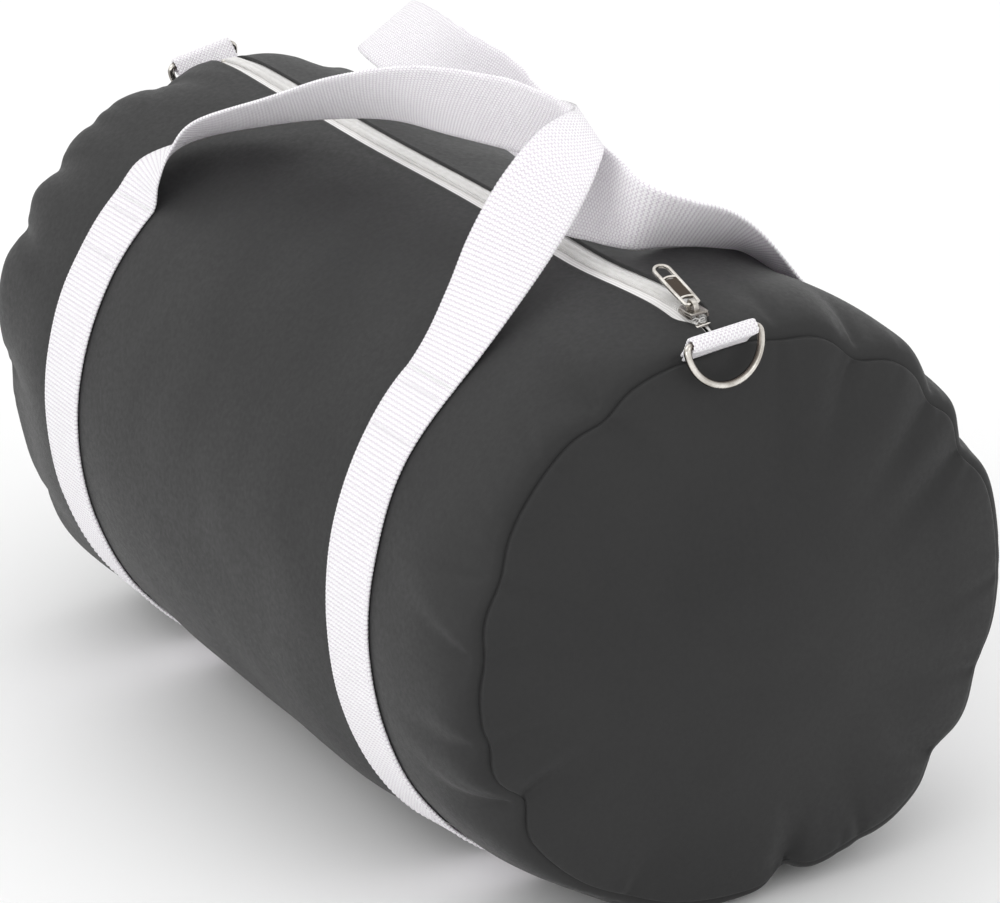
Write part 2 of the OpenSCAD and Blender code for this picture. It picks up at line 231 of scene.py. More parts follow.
def tape_material():
    """Knitted zip tape: fine lines along its length."""
    n = Nodes("zip_tape", Roughness=0.75, Sheen_Weight=0.15)
    u, v = n.uv()
    height = n.math("MULTIPLY_ADD", n.wave(u, 1.0 * MM), 0.25, n.wave(v, 1.3 * MM))
    n.feed(n.shader, Base_Color=n.ramp(height, (0.76, 0.74, 0.73), (0.93, 0.92, 0.91), -1.0, 0.5),
           Normal=n.bump(height, 0.5, 0.12))
    return n.mat


def coil_material():
    """White nylon monofilament."""
    n = Nodes("zip_coil", Roughness=0.35)
    n.feed(n.shader, Base_Color=n.ramp(n.noise(300.0, 2.0, 0.5), (0.80, 0.79, 0.77),
                                       (0.90, 0.89, 0.88), 0.3, 0.7))
    return n.mat


def nickel_material():
    """Bright nickel plate with a little handling wear, and painted dark reflections: dark brown where
    the piece's value says so.
    """
    n = Nodes("nickel", Metallic=1.0)
    worn = n.noise(160.0, 4.0, 0.6)
    bright = n.ramp(worn, (0.46, 0.43, 0.39), (0.84, 0.81, 0.76), 0.3, 0.7)
    # Painted dark reflection: the piece's per-point value mixes the plate towards dark brown, standing
    # for dark surroundings mirrored in the metal.
    n.feed(n.shader, Base_Color=n.mix(n.attribute("painted_dark_reflection"), bright, (0.075, 0.058, 0.045, 1)),
           Roughness=n.scaled(worn, 0.14, 0.30, 0.3, 0.7),
           Normal=n.bump(n.noise(1400.0, 2.0, 0.5), 0.12, 0.03))
    return n.mat


def thread_material(name, low, high):
    """Twisted sewing thread."""
    n = Nodes(name, Roughness=0.6)
    twist = n.noise(2200.0, 2.0, 0.5)
    n.feed(n.shader, Base_Color=n.ramp(twist, low, high, 0.35, 0.65), Normal=n.bump(twist, 0.4, 0.08))
    return n.mat


def binding_material():
    """Dark bias tape over the seam allowance."""
    n = Nodes("binding_tape", Roughness=0.8)
    n.feed(n.shader, Base_Color=n.ramp(n.noise(500.0, 3.0, 0.6), grey(0.018), grey(0.032)),
           Normal=n.bump(n.noise(1500.0, 2.0, 0.5), 0.4, 0.1))
    return n.mat


MATERIALS = {
    "body_nylon": nylon_material(),
    "webbing": webbing_material(),
    "zip_tape": tape_material(),
    "zip_coil": coil_material(),
    "nickel": nickel_material(),
    "white_thread": thread_material("white_thread", (0.84, 0.82, 0.85), (0.94, 0.93, 0.95)),
    "grey_thread": thread_material("grey_thread", grey(0.020), grey(0.034)),
    "binding_tape": binding_material(),
}


# ---- mesh helpers --------------------------------------------------------

def to_frame(points):
    """Points in mm about the body's centre line, as metres in the shared frame."""
    return np.asarray(points, float) * MM + np.array([0, 0, AXIS_Z * MM])


def mesh_piece(node, kind, points, faces, slot, body, uvs=None):
    """A smooth mesh object that stands for a CAD node, rides on a body (unless that is None) and
    takes its finish from a slot. uvs gives one (length, width) pair for each point, in metres."""
    name = node + "_" + kind
    mesh = bpy.data.meshes.new(name)
    mesh.from_pydata([tuple(p) for p in points], [], [tuple(int(i) for i in f) for f in faces])
    mesh.update()
    if uvs is not None:
        layer = mesh.uv_layers.new(name="UVMap")
        corner = np.empty(len(mesh.loops), dtype=np.int64)
        mesh.loops.foreach_get("vertex_index", corner)
        layer.data.foreach_set("uv", np.asarray(uvs, dtype=np.float32)[corner].ravel())
    mesh.polygons.foreach_set("use_smooth", [True] * len(mesh.polygons))
    obj = bpy.data.objects.new(name, mesh)
    bpy.context.collection.objects.link(obj)
    mesh.materials.append(MATERIALS[slot])
    if body is not None:
        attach(obj, body)
    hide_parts(node)
    return obj


def point_values(obj, name, values):
    """Stores one number for each point of a piece, for its material to read."""
    layer = obj.data.attributes.new(name, "FLOAT", "POINT")
    layer.data.foreach_set("value", np.asarray(values, np.float32))


def grid_faces(rows, cols, wrap_cols=False):
    """Quads of a rows by cols grid of points, in row order."""
    faces = []
    last = cols if wrap_cols else cols - 1
    for i in range(rows - 1):
        for j in range(last):
            k = (j + 1) % cols
            faces.append((i * cols + j, i * cols + k, (i + 1) * cols + k, (i + 1) * cols + j))
    return faces


def end_caps(rows, cols):
    """One face over the first and one over the last row of a grid that wraps round."""
    return [tuple(reversed(range(cols))), tuple((rows - 1) * cols + j for j in range(cols))]


def sheet_with_thickness(outer, inner, wrap_rows=False):
    """Closed mesh from an outer and an inner grid of points with the same shape.
    Returns points and faces. wrap_rows closes the grid along its second direction and
    fills the small hole inside its last row."""
    rows, cols = outer.shape[:2]
    count = rows * cols
    base = count - cols                           # first point of the last row
    faces = grid_faces(rows, cols, wrap_rows)
    faces += [tuple(i + count for i in f[::-1]) for f in faces]

    def wall(a, b):
        faces.append((a, a + count, b + count, b))

    if wrap_rows:
        for j in range(cols):
            wall(j, (j + 1) % cols)
        last = [base + j for j in range(cols)]
        faces += [tuple(last), tuple(i + count for i in reversed(last))]
    else:
        for j in range(cols - 1):
            wall(j, j + 1)
            wall(base + j + 1, base + j)
        for a in range(0, base, cols):
            b = a + cols
            wall(b, a)
            wall(a + cols - 1, b + cols - 1)
    return np.concatenate([outer.reshape(-1, 3), inner.reshape(-1, 3)]), faces


def cloth_piece(node, outer, inner, slot, uv, wrap_rows=False):
    """Piece between two grids of points, with a (length, width) pair in metres for each of them."""
    uv = uv.reshape(-1, 2)
    return mesh_piece(node, "cloth", *sheet_with_thickness(outer, inner, wrap_rows), slot, "bag",
                      np.concatenate([uv, uv]))


def smoothstep(a, b, x):
    """Rises smoothly from 0 at a to 1 at b."""
    t = np.clip((x - a) / (b - a), 0, 1)
    return t * t * (3 - 2 * t)


def hill(x, middle, width):
    """Smooth hill: 1 at the middle, nearly gone two widths from it."""
    return np.exp(-((x - middle) / width) ** 2)


def puffed(s, peak):
    """Rises from 0 at a seam to 1 at the distance peak from it and dies away."""
    return (s / peak) * np.exp(1 - s / peak)


def off_angle(angle, middle):
    """How far an angle is past another one, from -180 to 180 degrees."""
    return np.mod(angle - middle + 180, 360) - 180


def curve_through(points, steps):
    """Catmull-Rom curve from the second point to the last but one."""
    p = np.asarray(points, dtype=float)
    out = []
    for i in range(1, len(p) - 2):
        a, b, c, d = p[i - 1:i + 3]
        for k in range(steps):
            t = k / steps
            out.append(0.5 * (2 * b + (c - a) * t + (2 * a - 5 * b + 4 * c - d) * t * t
                              + (3 * b - a - 3 * c + d) * t ** 3))
    out.append(p[-2])
    return np.array(out)


def resample(points, spacing, *others):
    """Points at even spacing along a polyline, with other arrays carried along."""
    step = np.linalg.norm(np.diff(points, axis=0), axis=1)
    s = np.concatenate([[0], np.cumsum(step)])
    count = max(2, int(round(s[-1] / spacing)) + 1)
    t = np.linspace(0, s[-1], count)
    pick = [np.stack([np.interp(t, s, a[:, k]) for k in range(a.shape[1])], -1)
            for a in (points, *others)]
    return t, pick


def sweep(path, section, up, closed=False):
    """Carries a flat section along a path of points. section holds (across, up) pairs, or one such
    list for each point of the path. up is one vector or one for each point. Returns points, faces."""
    path = np.asarray(path, float)
    count = len(path)
    if closed:
        along = np.roll(path, -1, 0) - np.roll(path, 1, 0)
    else:
        along = np.gradient(path, axis=0)
    along /= np.linalg.norm(along, axis=1, keepdims=True)
    up = np.broadcast_to(np.asarray(up, float), (count, 3))
    across = np.cross(along, up)
    across /= np.linalg.norm(across, axis=1, keepdims=True)
    lift = np.cross(across, along)
    section = np.asarray(section, float)
    if section.ndim == 2:
        section = np.broadcast_to(section, (count, *section.shape))
    grid = path[:, None] + section[:, :, :1] * across[:, None] + section[:, :, 1:] * lift[:, None]
    cols = section.shape[1]
    faces = grid_faces(count, cols, wrap_cols=True)
    if closed:
        last = (count - 1) * cols
        faces += [(last + j, last + (j + 1) % cols, (j + 1) % cols, j) for j in range(cols)]
    else:
        faces += end_caps(count, cols)
    return grid.reshape(-1, 3), faces


def merged(parts):
    """Several (points, faces) lumps as one."""
    points, faces, base = [], [], 0
    for p, f in parts:
        points.append(np.asarray(p))
        faces += [tuple(i + base for i in face) for face in f]
        base += len(p)
    return np.concatenate(points), faces


def round_section(radius, sides):
    """Outline of a round wire."""
    turn = np.linspace(0, 2 * math.pi, sides + 1)[:-1]
    return np.stack([radius * np.cos(turn), radius * np.sin(turn)], -1)


def soft_box(width, height, edge, steps=3):
    """Outline of a flat bar with rounded edges."""
    out = []
    for k, (cx, cy) in enumerate(((1, 1), (-1, 1), (-1, -1), (1, -1))):
        for i in range(steps + 1):
            turn = math.pi / 2 * (k + i / steps)
            out.append((cx * (width / 2 - edge) + edge * math.cos(turn),
                        cy * (height / 2 - edge) + edge * math.sin(turn)))
    return np.array(out)


STITCH_RISE = np.array([-0.9, 0.35, 0.62, 0.62, 0.35, -0.9])      # along a stitch, in thread radii


def thread_row(points, normals, length, gap, radius):
    """A row of stitches laid along a line of points, each a short thread that dips at its ends.
    The points are in metres, the stitch's length, gap and radius in mm."""
    s, (line, up) = resample(points, 0.35 * MM, normals)
    up /= np.linalg.norm(up, axis=1, keepdims=True)
    step = (length + gap) * MM
    lumps = []
    for k in range(int(s[-1] / step)):
        at = k * step + length * MM * np.linspace(0, 1, len(STITCH_RISE))
        mid = np.stack([np.interp(at, s, line[:, i]) for i in range(3)], -1)
        n = np.stack([np.interp(at, s, up[:, i]) for i in range(3)], -1)
        mid += n * (STITCH_RISE * radius * MM)[:, None]
        lumps.append(sweep(mid, round_section(radius * MM, 6), n))
    return merged(lumps)


# ---- the body's surface --------------------------------------------------
# Angles run round the body's centre line: 0 at the front, 90 on top, 180 at the back, 270 below.
# A gathered end seam is a broad outline, as (angle, distance from the centre line in mm), drawn in
# by puckers, as (angle, depth in mm, reach in degrees). Side 1 is the right end, -1 the left.

SEAM_OUTLINE = {
    1: [(0, 125.5), (45, 129), (90, 127.5), (130, 130), (175, 130.5), (235, 130.5), (255, 123),
        (280, 122), (310, 124.5), (340, 125.5)],
    -1: [(0, 118.5), (22, 125), (60, 128), (100, 128), (150, 128.5), (210, 129.5), (250, 126),
         (285, 123), (315, 125), (345, 118.5)]}
PUCKERS = {
    1: [(9, 2.5, 5), (25, 3.5, 6), (61, 4, 5), (82, 1, 6), (101, 1.5, 5), (120, 6.5, 6), (141, 5, 5),
        (155, 6.5, 6), (203, 3, 6), (221, 5, 5), (244, 2, 6), (261, 7, 4), (300, 1.5, 8), (336, 8, 5),
        (351, 2, 3)],
    -1: [(2, 2, 5), (34, 5, 5), (48, 4, 4), (60, 1, 3), (78, 5, 6), (93, 1.5, 5), (113, 3.5, 5),
         (139, 5, 5), (166, 5.5, 5), (194, 6, 5), (222, 7, 6), (252, 5, 6), (272, 2, 6), (300, 3, 7),
         (330, 2, 5)]}
# Broad fullness of the stuffed body: (place along it, reach along it, angle, reach in degrees, mm).
FULLNESS = [
    (98, 42, 119, 22, 4.2), (126, 20, 120, 9, 1.3),
    (195, 50, 118, 26, 5.5), (-223, 50, 352, 27, -12.5), (60, 60, 205, 40, 1.5), (-60, 70, 150, 40, 1.2),
    (75, 75, 317, 24, 5.5), (222, 30, 307, 13, -6.0), (215, 28, 261, 10, -6.0),
    (10, 60, 20, 26, 1.4), (-40, 50, 320, 30, 1.2), (190, 30, 200, 40, 1.5)]
SHOULDER = 44.0          # mm over which the body rounds down to an end seam
SHOULDER_ROUND = 2.1     # how squarely it does so
GATHER_REACH = 24.0      # mm from the seam in which the gathers die away
SEAM_SLIT = 1.9          # mm of the narrow slit between the panels at the seam
SEAM_DIP = 1.0           # mm that the fabric turns in beside it
DIP_REACH = 2.6          # mm in which that dip dies away
FABRIC_T = 0.9
DOME = 14.0              # mm that the ends bulge out
FINE = 0.5               # degrees between entries of the seam tables
AROUND = 781             # points round a panel
SEAM_STEP = 0.25         # mm between the first rows of points beside a seam


def round_wave(spots):
    """Smooth closed curve through (angle, value) spots, one value for every FINE degrees."""
    a = np.array([q[0] for q in spots], float)
    v = np.array([q[1] for q in spots], float)
    a = np.concatenate([a[-2:] - 360, a, a[:2] + 360])
    v = np.concatenate([v[-2:], v, v[:2]])
    slope = np.zeros_like(v)
    slope[1:-1] = (v[2:] - v[:-2]) / (a[2:] - a[:-2])
    at = np.arange(0, 360, FINE)
    i = np.clip(np.searchsorted(a, at, side="right") - 1, 1, len(a) - 3)
    h = a[i + 1] - a[i]
    t = (at - a[i]) / h
    return ((2 * t ** 3 - 3 * t ** 2 + 1) * v[i] + (t ** 3 - 2 * t ** 2 + t) * h * slope[i]
            + (3 * t ** 2 - 2 * t ** 3) * v[i + 1] + (t ** 3 - t ** 2) * h * slope[i + 1])


def round_blur(table, degrees):
    """The closed curve with everything narrower than about this many degrees smoothed out."""
    count = len(table)
    k = np.fft.fftfreq(count, 1.0 / count)
    keep = np.exp(-0.5 * (k * math.radians(degrees)) ** 2)
    return np.real(np.fft.ifft(np.fft.fft(table) * keep))


def lookup(table, angle):
    """Value of a closed curve at any angle."""
    at = np.mod(angle, 360) / FINE
    i = np.floor(at).astype(int)
    t = at - i
    return table[i % len(table)] * (1 - t) + table[(i + 1) % len(table)] * t


def seam_table(side):
    """Distance of an end seam from the centre line in mm, one value for every FINE degrees."""
    at = np.arange(0, 360, FINE)
    r = round_wave(SEAM_OUTLINE[side])
    for angle, depth, reach in PUCKERS[side]:
        r = r - depth * hill(off_angle(at, angle), 0, reach)
    return r


SEAM = {side: seam_table(side) for side in (1, -1)}
SEAM_BROAD = {side: round_blur(table, 16.0) for side, table in SEAM.items()}


def seam_parts(side, angle):
    """Broad radius of an end seam and its gathers' departure from it, in mm."""
    broad = lookup(SEAM_BROAD[side], angle)
    return broad, lookup(SEAM[side], angle) - broad


def smooth_noise(x, y, z, scale, seed):
    """Soft noise from -1 to 1 at each point of three arrays of the same shape."""
    out = np.empty(x.shape)
    flat = out.ravel()
    for i, (a, b, c) in enumerate(zip(x.ravel(), y.ravel(), z.ravel())):
        flat[i] = noise.noise(Vector((a * scale + seed, b * scale, c * scale)))
    return out


def zip_y(x_mm):
    """Where the zip's middle runs across the top, in mm: a skewed line that sags a little."""
    skew = -math.tan(math.radians(ZIP_SKEW)) * x_mm
    sag = -3.2 * hill(x_mm, 118, 52) - 1.6 * hill(x_mm, -60, 60)
    return skew + sag * smoothstep(0, 40, ZIP_HALF - np.abs(x_mm))


def zip_angle(x_mm):
    """The same line as an angle round the body."""
    return 90 + np.degrees(np.arcsin(zip_y(x_mm) / BODY_R))


def window_angle(x_mm):
    """Half the zip window in degrees; the panel's edges draw together at the right end."""
    half = math.degrees(math.asin(ZIP_WINDOW / 2 / BODY_R))
    return half * (1 - 0.78 * smoothstep(207, 223, x_mm))


def strap_pull(x_mm, angle):
    """How far each girth strap is drawn into the stuffed body, in mm, less where a handle lifts it."""
    from_top = np.abs(off_angle(angle, 90))
    tight = smoothstep(44, 76, from_top) * (1 - 0.6 * smoothstep(140, 165, from_top))
    return (0.5 + 1.4 * tight) * (hill(x_mm, -STRAP_X, 27) + hill(x_mm, STRAP_X, 27))


def body_radius(x_mm, angle):
    """Radius of the main panel in mm at places along the bag and angles round it."""
    s = np.clip(HALF_LENGTH - np.abs(x_mm), 0, None)            # distance from the nearer seam
    right, left = seam_parts(1, angle), seam_parts(-1, angle)
    broad, fine = (np.where(x_mm > 0, a, b) for a, b in zip(right, left))
    r = BODY_R
    for x0, reach_x, a0, reach_a, amount in FULLNESS:
        r = r + amount * hill(x_mm, x0, reach_x) * hill(off_angle(angle, a0), 0, reach_a)
    near = np.clip(1 - s / SHOULDER, 0, 1)
    r = r - (r - broad) * (1 - np.sqrt(np.clip(1 - near ** SHOULDER_ROUND, 0, 1)))
    r = r + fine * (np.exp(-(s / GATHER_REACH) ** 1.25) + 0.35 * puffed(s, 9.0))
    return r - SEAM_DIP * np.exp(-s / DIP_REACH) - SEAM_SLIT * np.exp(-s / 0.6) - strap_pull(x_mm, angle)


def on_body(x_mm, angle, r):
    """Points in mm about the centre line, from places along it, angles and radii."""
    phi = np.radians(angle)
    return np.stack([x_mm, -r * np.cos(phi), r * np.sin(phi)], -1)


def soft_floor(z, floor, blend=2.2):
    """Presses z flat at floor, with a soft bend into the flat."""
    return floor + blend * np.logaddexp(0, (z - floor) / blend)


def folds(side, angle, s, mm_per_degree, width, ridges, stretch=1.0):
    """Height in mm of sharp little folds that run in from the gathers of an end seam. s is the
    distance from the seam in mm. A fold is a groove with ridges beside it, each given as (height,
    place, width) in widths of the fold, and stretch lengthens it."""
    out = np.zeros(np.broadcast(s, angle).shape)
    for a0, depth, length, slant in CREASES[side]:
        u = off_angle(angle, a0 + slant * s / 40.0) * mm_per_degree / width
        shape = sum(height * hill(u, place, wide) for height, place, wide in ridges) - hill(u, 0, 1)
        out += depth * shape * np.exp(-(s / (stretch * length)) ** 1.6)
    return out * smoothstep(0, 5, s)


def creases(x_mm, angle, side):
    """The folds of the main panel at one of its ends."""
    s = np.clip(HALF_LENGTH - side * x_mm, 0, None)
    return folds(side, angle, s, 2.3, 2.2 + 0.10 * s, [(0.55, 1.9, 1.2), (0.35, -2.0, 1.3)])


def pinches(side):
    """Folds at every pucker of the seam and some between: (angle, depth, length in mm, slant)."""
    found = [(angle, 0.45 + 0.15 * min(depth, 6), RNG.uniform(18, 46), RNG.uniform(-6, 6))
             for angle, depth, _ in PUCKERS[side]]
    between = [(RNG.uniform(0, 360), RNG.uniform(0.25, 0.6), RNG.uniform(12, 34), RNG.uniform(-9, 9))
               for _ in range(14)]
    return found + between


CREASES = {1: pinches(1), -1: pinches(-1)}


def panel_radius(x_mm, angle):
    """body_radius with the little folds and the soft unevenness of a stuffed bag, in mm."""
    x_mm, angle = np.broadcast_arrays(np.asarray(x_mm, float), np.mod(angle, 360))
    r = body_radius(x_mm, angle)
    r = r + np.where(x_mm > 0, creases(x_mm, angle, 1), creases(x_mm, angle, -1))
    x, y, z = np.moveaxis(on_body(x_mm, angle, r), -1, 0)
    soft = smooth_noise(x, y, z, 0.010, 3.0) * 2.0 + smooth_noise(x, y, z, 0.027, 5.0) * 0.9
    s = HALF_LENGTH - np.abs(x_mm)
    off_zip = np.abs(off_angle(angle, zip_angle(x_mm)))
    return r + soft * smoothstep(0, 26, s) * smoothstep(4, 16, off_zip)


def body_points(x_mm, angle, lift=0.0):
    """Points of the main panel for arrays of places and angles, in metres."""
    x, y, z = np.moveaxis(on_body(x_mm, angle, panel_radius(x_mm, angle) + lift), -1, 0)
    return to_frame(np.stack([x, y, soft_floor(z, FLOOR - np.minimum(lift, 0))], -1))


def seam_rows(fine, coarse, length):
    """Places along half a panel, close together at the seam and wider towards the middle."""
    out, s, step = [0.0], 0.0, fine
    while s < length:
        s += step
        step = min(step * 1.09, coarse)
        out.append(min(s, length))
    return np.array(out)


def main_panel():
    """One sheet wrapped round the body, gathered to the end seams, hemmed along the zip."""
    gap = float(window_angle(0.0))
    turn = np.linspace(-gap, gap - 360, AROUND)
    half = HALF_LENGTH - seam_rows(SEAM_STEP, 2.6, HALF_LENGTH)
    xs = np.concatenate([-half, half[::-1][1:]])
    x = np.broadcast_to(xs[:, None], (len(xs), AROUND))
    around = -180 + (turn + 180) * (180 - window_angle(x)) / (180 - gap)
    a = np.mod(zip_angle(x) + around, 360)
    off_hem = np.minimum(np.abs(turn + gap), np.abs(turn - gap + 360)) * 2.34      # mm from the edge
    hem = 0.35 * hill(off_hem, 0, 3.0) - 0.06 * hill(off_hem, 2.6, 0.8)
    outer = body_points(x, a, 0.0 * a + hem)
    inner = body_points(x, a, 0.0 * a - FABRIC_T)
    girth = np.broadcast_to(np.radians(-turn) * BODY_R, x.shape)
    obj = cloth_piece("main_panel", outer, inner, "body_nylon", np.stack([x, girth], -1) * MM)


def end_panel(side):
    """Round end, sewn to the body with puckers that run in towards its middle."""
    angles = np.linspace(0, 360, AROUND)[:-1]
    t, a = np.meshgrid(seam_rows(SEAM_STEP, 3.0, SEAM_R - 0.4), angles, indexing="ij")
    share = 1 - t / SEAM_R
    broad, fine = seam_parts(side, a)
    mean_r = float(np.mean(SEAM_BROAD[side]))
    rim = mean_r + (broad - mean_r) * np.exp(-t / 45.0) + fine * np.exp(-(t / 20.0) ** 1.3)
    r = share * rim - (SEAM_DIP + SEAM_SLIT) * np.exp(-t / DIP_REACH) * share
    gathers = 0.30 * puffed(t, 10.0) + 0.22 * hill(t, 22, 16) * smoothstep(0, 10, t)
    bulge = DOME * (1 - share ** 2.3) + 0.9 * SEAM_SLIT * (1 - np.exp(-t / 0.7)) + fine * gathers
    fold = folds(side, a, t, np.radians(1) * np.maximum(r, 1), 2.0 + 0.09 * t, [(0.5, 1.9, 1.2)], 1.1)
    _, y, z = np.moveaxis(on_body(0 * a, a, r), -1, 0)
    seed = 11.0 if side > 0 else 29.0
    soft = smooth_noise(y, z, 0 * y, 0.015, seed) * 1.6 + smooth_noise(y, z, 0 * y, 0.035, seed) * 0.6
    bulge = bulge + fold * smoothstep(4, 30, r) + soft * smoothstep(0, 26, t)
    z = soft_floor(z, FLOOR)
    outer = to_frame(np.stack([side * (HALF_LENGTH + bulge), y, z], -1))
    inner = outer - np.array([side * FABRIC_T * MM, 0, 0])
    uv = np.stack([y, z], -1) * MM
    if side > 0:
        outer, inner, uv = outer[:, ::-1], inner[:, ::-1], uv[:, ::-1]
    obj = cloth_piece(SIDE_NAME[side] + "_end_panel", outer, inner, "body_nylon", uv, wrap_rows=True)


# ---- webbing -------------------------------------------------------------

def webbing_ribbon(node, edge_a, edge_b, body, ribbed=(0.8, 0.0), coarse=1.1):
    """Woven strip between two edge curves, with rounded, slightly toothed selvedges.
    The edge curves are arrays of points, one pair for each place along the strip. ribbed, at
    the ends and in the middle, turns the basket weave (0) into straight ribs across the strip
    (1); coarse widens the ribs."""
    mid = (edge_a + edge_b) / 2
    s, (mid, a, b) = resample(mid, 0.5 * MM, edge_a, edge_b)
    along = np.gradient(mid, axis=0)
    across = b - a
    width = np.linalg.norm(across, axis=1, keepdims=True)
    face = np.cross(along, across)
    face /= np.linalg.norm(face, axis=1, keepdims=True)
    across = across / width
    half_t = WEB_T / 2 * MM
    edge_v = 0.35 * MM
    tooth = 0.18 * MM * np.sin(2 * np.pi * s / (1.9 * MM))[:, None]
    ring, uv = [], []
    for side in (1, -1):
        for u in np.linspace(-side, side, 17):
            half = width / 2 - edge_v + (tooth if abs(u) == 1 else 0)
            bulge = half_t * (1 if abs(u) < 1 else 0.78)
            ring.append(mid + across * u * half + face * side * bulge)
            uv.append(np.stack([s / coarse, np.full_like(s, u * WEB_W / 2 * MM)], -1))
        ring.append(mid + across * side * (width / 2 + tooth))
        uv.append(np.stack([s / coarse, np.full_like(s, side * WEB_W / 2 * MM)], -1))
    grid = np.stack(ring, 1)
    rows, cols = grid.shape[:2]
    faces = grid_faces(rows, cols, wrap_cols=True) + end_caps(rows, cols)
    obj = mesh_piece(node, "webbing", grid.reshape(-1, 3), faces, "webbing", body,
                     np.stack(uv, 1).reshape(-1, 2))
    t = s / s[-1]
    at_ends = smoothstep(0.32, 0.12, t) + smoothstep(0.68, 0.88, t)
    point_values(obj, "ribbed", np.repeat(ribbed[1] + (ribbed[0] - ribbed[1]) * at_ends, cols))
    return obj


# Edges of the two handles about the body's centre line, in mm.
FRONT_OUTER = [(-152, -74, 117), (-137, -55, 126), (-117, -38, 133), (-74, -20, 145),
               (-29, -9, 154), (16, -5, 158), (59, 3, 160), (84, 8, 160), (108, 10, 165),
               (133, 3, 181), (138, -6, 170), (140, -17, 156), (147, -36, 142),
               (153, -55, 129), (156, -73, 115)]
FRONT_INNER = [(-116, -84, 117), (-111, -79, 133), (-102, -70, 147), (-67, -52, 163),
               (-28, -37, 180), (15, -20, 192), (62, -5, 196), (83, 0, 195), (92, 5, 192),
               (97, 11, 188), (103, -10, 184), (109, -33, 170), (114, -52, 151),
               (116, -64, 132), (118, -76, 115)]
BACK_OUTER = [(158, 81, 113), (164, 64, 134), (166, 51, 148), (167, 38, 157), (165, 24, 163),
              (155, 9, 171), (121, 11, 177), (93, 13, 176), (56, 21, 180), (18, 27, 186),
              (-25, 30, 187), (-74, 42, 182), (-105, 49, 178), (-125, 56, 172), (-138, 66, 162),
              (-151, 79, 142), (-156, 84, 122)]
BACK_INNER = [(121, 81, 112), (127, 70, 120), (131, 58, 124.5), (134, 44, 129.5), (136, 27, 133.5),
              (138, 10, 137), (119, 2, 137), (99, -2, 138), (60, 10, 148), (25, 15, 151),
              (-19, 16, 152), (-66, 14, 157), (-98, 16, 160), (-116, 22, 159), (-124, 36, 152),
              (-122, 58, 138), (-119, 76, 120)]


def strap_surface(x_mm, angle, lift):
    """Points in mm at a height over the panel, under or beside a girth strap's own width."""
    x_mm, angle = np.broadcast_arrays(np.asarray(x_mm, float), np.asarray(angle, float))
    half = WEB_W / 2
    middle = math.copysign(STRAP_X, np.mean(x_mm))
    low, high = panel_radius(middle - half, angle), panel_radius(middle + half, angle)
    hump = 0.0
    for share in (0.25, 0.5, 0.75):
        under = panel_radius(middle - half + WEB_W * share, angle)
        hump = np.maximum(hump, under - low * (1 - share) - high * share)
    share = (x_mm - middle + half) / WEB_W
    r = low * (1 - share) + high * share + hump + lift
    x, y, z = np.moveaxis(on_body(x_mm, angle, r), -1, 0)
    return np.stack([x, y, soft_floor(z, FLOOR - lift, 1.5)], -1)


STRAP_DRAWN = 1.2         # mm that sewing draws each edge of a strap in


def girth_strap(side):
    """Webbing sewn down the front, under the body and up the back."""
    angles = np.linspace(ROOT_ANGLE, -180 - ROOT_ANGLE, 1200)
    drawn = smoothstep(2, 16, ROOT_ANGLE - angles) * smoothstep(2, 16, angles + 180 + ROOT_ANGLE)
    reach = WEB_W / 2 - STRAP_DRAWN * drawn
    edges = [to_frame(strap_surface(side * STRAP_X + edge * reach, angles, WEB_LIFT))
             for edge in (-1, 1)]
    obj = webbing_ribbon(SIDE_NAME[side] + "_girth_strap", *edges, "bag", ribbed=(0.8, 0.45))


def root_point(x, side, turn):
    """Point of a strap's surface, turned down by some degrees from where a handle leaves it."""
    angle = 90 + side * (90 - ROOT_ANGLE + turn)
    return tuple(strap_surface(np.array([x]), np.array([angle]), WEB_LIFT)[0])


def handle(node, outer, inner, side):
    """Free webbing from one girth strap to the other, bending where it leaves them."""
    edges = []
    for route, sign in ((outer, 1), (inner, -1)):
        x = side * (STRAP_X + sign * WEB_W / 2)   # edge of the strap where the route starts
        full = [root_point(x, side, 8), root_point(x, side, 0), *route,
                root_point(-x, side, 0), root_point(-x, side, 8)]
        edges.append(to_frame(curve_through(full, 24)))
    obj = webbing_ribbon(node, *edges, None)
    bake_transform(obj)


# ---- zip -----------------------------------------------------------------

TAPE_GAP = 1.5            # mm between the two tapes
TAPE_WIDTH = 15.4
TAPE_HALF = 226.0         # half the length of a tape, which ends just short of the seams
TAPE_T = 0.6
TAPE_DROP = 1.25          # mm from the panel's outside down to the tape's top
COIL_PITCH = 1.36
COIL_WIRE = 0.29
COIL_STEPS = 14           # points in one turn of a coil
STOP_HALF = 3.2           # half the width of a stop
ZIP_SIDES = (("front", -1), ("back", 1))


def zip_frame(x_mm, across, up):
    """Points beside the zip's middle line: across it in mm and up from the tape's top."""
    x_mm, across = np.broadcast_arrays(np.asarray(x_mm, float), across)
    mid = zip_angle(x_mm)
    r = body_radius(x_mm, mid) - TAPE_DROP
    angle = mid + np.degrees(across / r)
    return to_frame(on_body(x_mm, angle, r + up))


def zip_tapes():
    """Two knitted tapes, a little wavy, each raised along its coil."""
    for name, side in ZIP_SIDES:
        x = np.linspace(-TAPE_HALF, TAPE_HALF, 453)[:, None]
        across = np.linspace(TAPE_GAP / 2, TAPE_GAP / 2 + TAPE_WIDTH, 24)[None, :]
        wave = 0.12 * np.sin(x * 0.45 + side) + 0.10 * np.sin(x * 0.19 + 2 * side)
        rise = 0.45 * hill(across, 1, 4) + wave * np.exp(-across / 9.0)
        top = zip_frame(x, side * across, rise)
        low = zip_frame(x, side * across, rise - TAPE_T)
        if side > 0:
            top, low, across = top[:, ::-1], low[:, ::-1], across[:, ::-1]
        uv = np.stack(np.broadcast_arrays(x, across), -1) * MM
        obj = cloth_piece(name + "_zip_tape", top, low, "zip_tape", uv)


